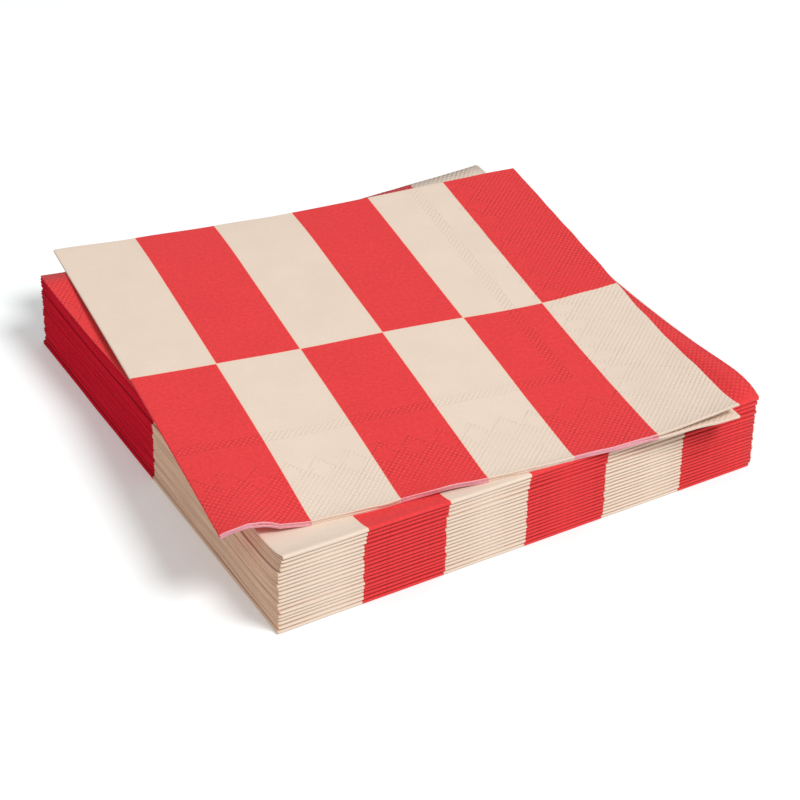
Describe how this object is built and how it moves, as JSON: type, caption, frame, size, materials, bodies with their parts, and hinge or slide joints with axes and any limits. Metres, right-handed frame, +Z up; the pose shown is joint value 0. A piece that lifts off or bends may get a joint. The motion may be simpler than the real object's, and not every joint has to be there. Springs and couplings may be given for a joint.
{
  "type": "stack of paper napkins",
  "caption": "Squared pile of quarter-folded printed tissue napkins with a loose one turned a little on top.",
  "frame": {"origin": "middle of the pile's flat underside", "axes": "+Z up out of the pile; -Y is the front, where the second folds are; -X is the side of the first folds"},
  "size_m": [0.1834, 0.1843, 0.03],
  "materials": {
    "tissue": "soft matt tissue, printed on the outside in a plain check of red and cream"
  },
  "bodies": {
    "root": {"napkin_01": "tissue", "napkin_02": "tissue", "napkin_03": "tissue", "napkin_04": "tissue", "napkin_05": "tissue", "napkin_06": "tissue", "napkin_07": "tissue", "napkin_08": "tissue", "napkin_09": "tissue", "napkin_10": "tissue", "napkin_11": "tissue", "napkin_12": "tissue", "napkin_13": "tissue", "napkin_14": "tissue", "napkin_15": "tissue", "napkin_16": "tissue", "napkin_17": "tissue", "napkin_18": "tissue", "napkin_19": "tissue", "napkin_20": "tissue", "napkin_21": "tissue"}
  },
  "joints": []
}
